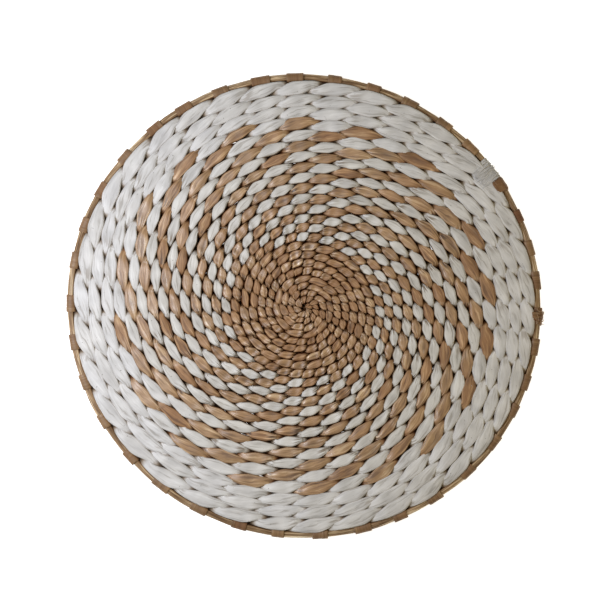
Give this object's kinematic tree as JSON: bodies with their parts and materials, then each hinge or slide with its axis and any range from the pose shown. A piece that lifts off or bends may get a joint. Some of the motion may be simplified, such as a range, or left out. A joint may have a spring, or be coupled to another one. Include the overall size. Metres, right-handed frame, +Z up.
{
  "type": "chair seat pad",
  "caption": "Round flat seat pad, twined in a spiral from natural and white-painted plant-fibre strands over radial stakes, with a wrapped rim hoop.",
  "frame": {"origin": "on the resting plane under the middle of the pad, at the centre of the bounding box's underside", "axes": "+Z up, out of the front face; +X to the right and +Y up the front face as it is seen from above"},
  "size_m": [0.3873, 0.3795, 0.0108],
  "materials": {
    "natural_strand": "dry natural plant fibre, matte with a faint sheen",
    "white_strand": "plant fibre with thin matte white paint",
    "stake_strip": "flat leaf strip, satin to matte",
    "rim_cane": "bare cane, matte"
  },
  "bodies": {
    "root": {"rim_hoop": "rim_cane", "rim_wrap_white": "white_strand", "stake_added_01": "stake_strip", "stake_added_02": "stake_strip", "stake_added_03": "stake_strip", "stake_added_04": "stake_strip", "stake_added_05": "stake_strip", "stake_added_06": "stake_strip", "stake_added_07": "stake_strip", "stake_added_08": "stake_strip", "stake_added_09": "stake_strip", "stake_added_10": "stake_strip", "stake_added_11": "stake_strip", "stake_added_12": "stake_strip", "stake_added_13": "stake_strip", "stake_added_14": "stake_strip", "stake_added_15": "stake_strip", "stake_added_16": "stake_strip", "stake_added_17": "stake_strip", "stake_added_18": "stake_strip", "stake_added_19": "stake_strip", "stake_added_20": "stake_strip", "stake_added_21": "stake_strip", "stake_added_22": "stake_strip", "stake_added_23": "stake_strip", "stake_added_24": "stake_strip", "stake_added_25": "stake_strip", "stake_through_1": "stake_strip", "stake_through_2": "stake_strip", "stake_through_3": "stake_strip", "stake_through_4": "stake_strip", "stake_through_5": "stake_strip", "stake_through_6": "stake_strip", "weft_a_natural_01": "natural_strand", "weft_a_natural_02": "natural_strand", "weft_a_white_01": "white_strand", "weft_a_white_02": "white_strand", "weft_a_white_03": "white_strand", "weft_a_white_04": "white_strand", "weft_a_white_05": "white_strand", "weft_a_white_06": "white_strand", "weft_a_white_07": "white_strand", "weft_a_white_08": "white_strand", "weft_a_white_09": "white_strand", "weft_a_white_10": "white_strand", "weft_b_natural_01": "natural_strand", "weft_b_natural_02": "natural_strand", "weft_b_natural_03": "natural_strand", "weft_b_natural_04": "natural_strand", "weft_b_natural_05": "natural_strand", "weft_b_natural_06": "natural_strand", "weft_b_natural_07": "natural_strand", "weft_b_natural_08": "natural_strand", "weft_b_natural_09": "natural_strand", "weft_b_white_01": "white_strand", "weft_b_white_02": "white_strand", "weft_b_white_03": "white_strand"}
  },
  "joints": []
}
